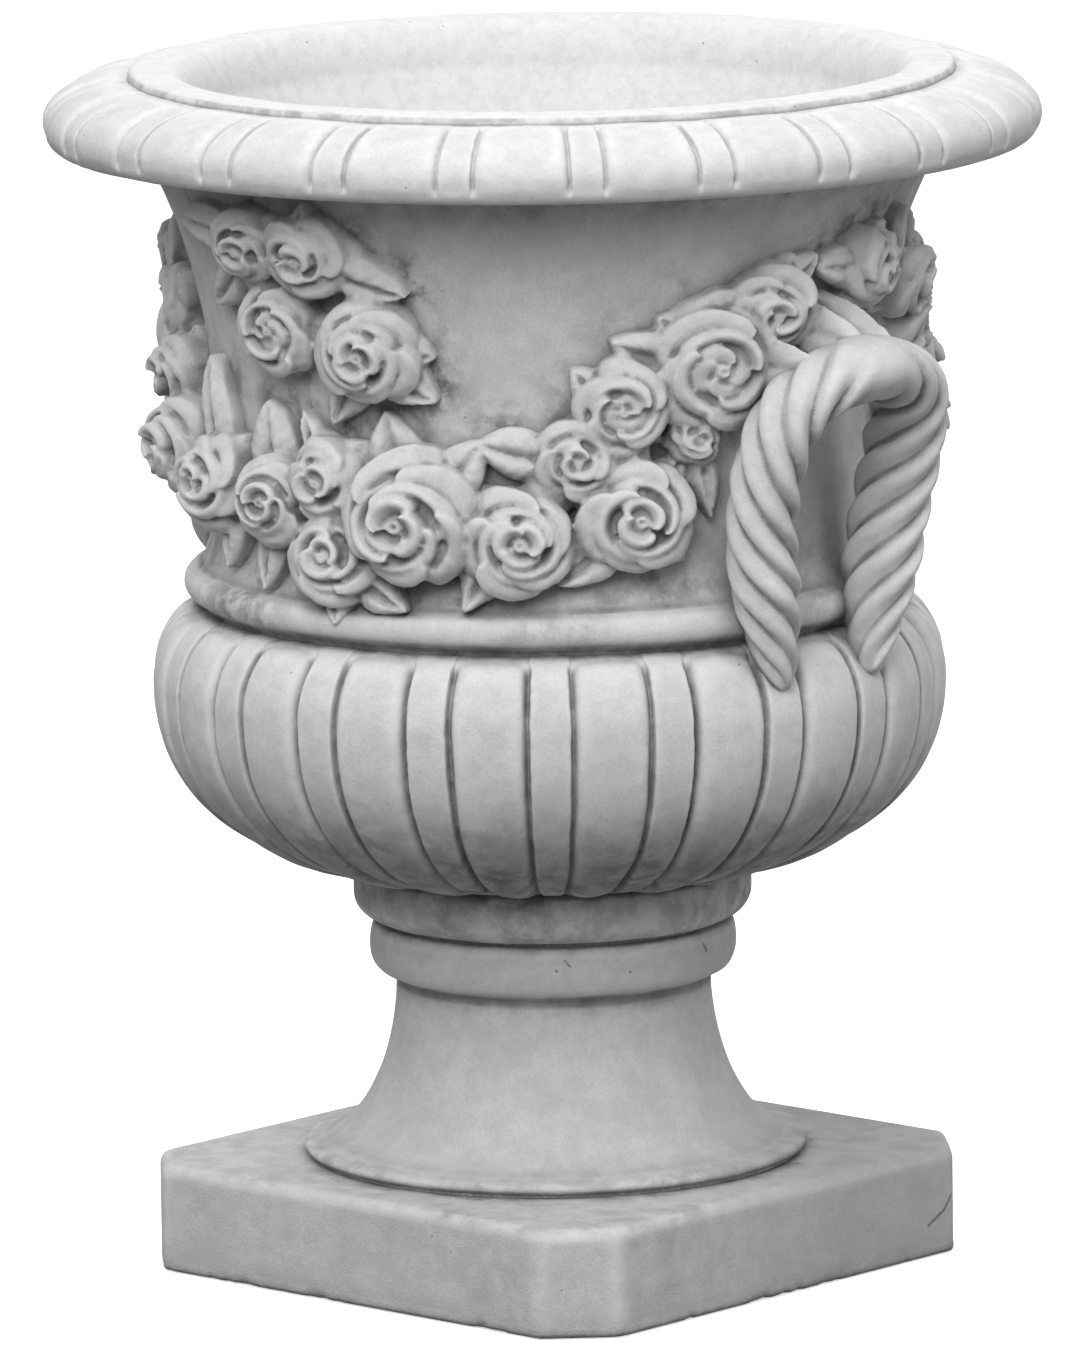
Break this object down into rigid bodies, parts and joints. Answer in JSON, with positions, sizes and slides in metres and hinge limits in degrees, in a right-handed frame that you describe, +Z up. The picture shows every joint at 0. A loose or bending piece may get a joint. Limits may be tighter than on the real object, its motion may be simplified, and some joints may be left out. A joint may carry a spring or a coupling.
{
  "type": "urn planter",
  "caption": "Cast stone garden urn: fluted bowl with rose garlands and rope handles on a turned pedestal and square plinth, drained through the middle.",
  "frame": {"origin": "centre of the plinth's underside, on the ground", "axes": "+Z up; the plinth's sides face X and Y, the rope handles lie along X"},
  "size_m": [0.4936, 0.4936, 0.6],
  "materials": {
    "cast_stone": "weathered pale cast stone, fine pores, darker in the hollows",
    "mortar": "raked lime mortar, matte",
    "drain_plastic": "plain grey pipe",
    "steel": "stainless bar"
  },
  "bodies": {
    "root": {"plinth": "cast_stone", "mortar_bed_pedestal": "mortar", "pedestal": "cast_stone", "mortar_bed_bowl": "mortar", "drain_tube": "drain_plastic", "dowel_plinth_1": "steel", "dowel_plinth_2": "steel", "dowel_bowl_1": "steel", "dowel_bowl_2": "steel", "bowl": "cast_stone", "rope_handle_right": "cast_stone", "handle_bar_right": "steel", "rose_swag_front": "cast_stone", "rose_spray_front": "cast_stone", "rope_handle_left": "cast_stone", "handle_bar_left": "steel", "rose_swag_back": "cast_stone", "rose_spray_back": "cast_stone"}
  },
  "joints": []
}
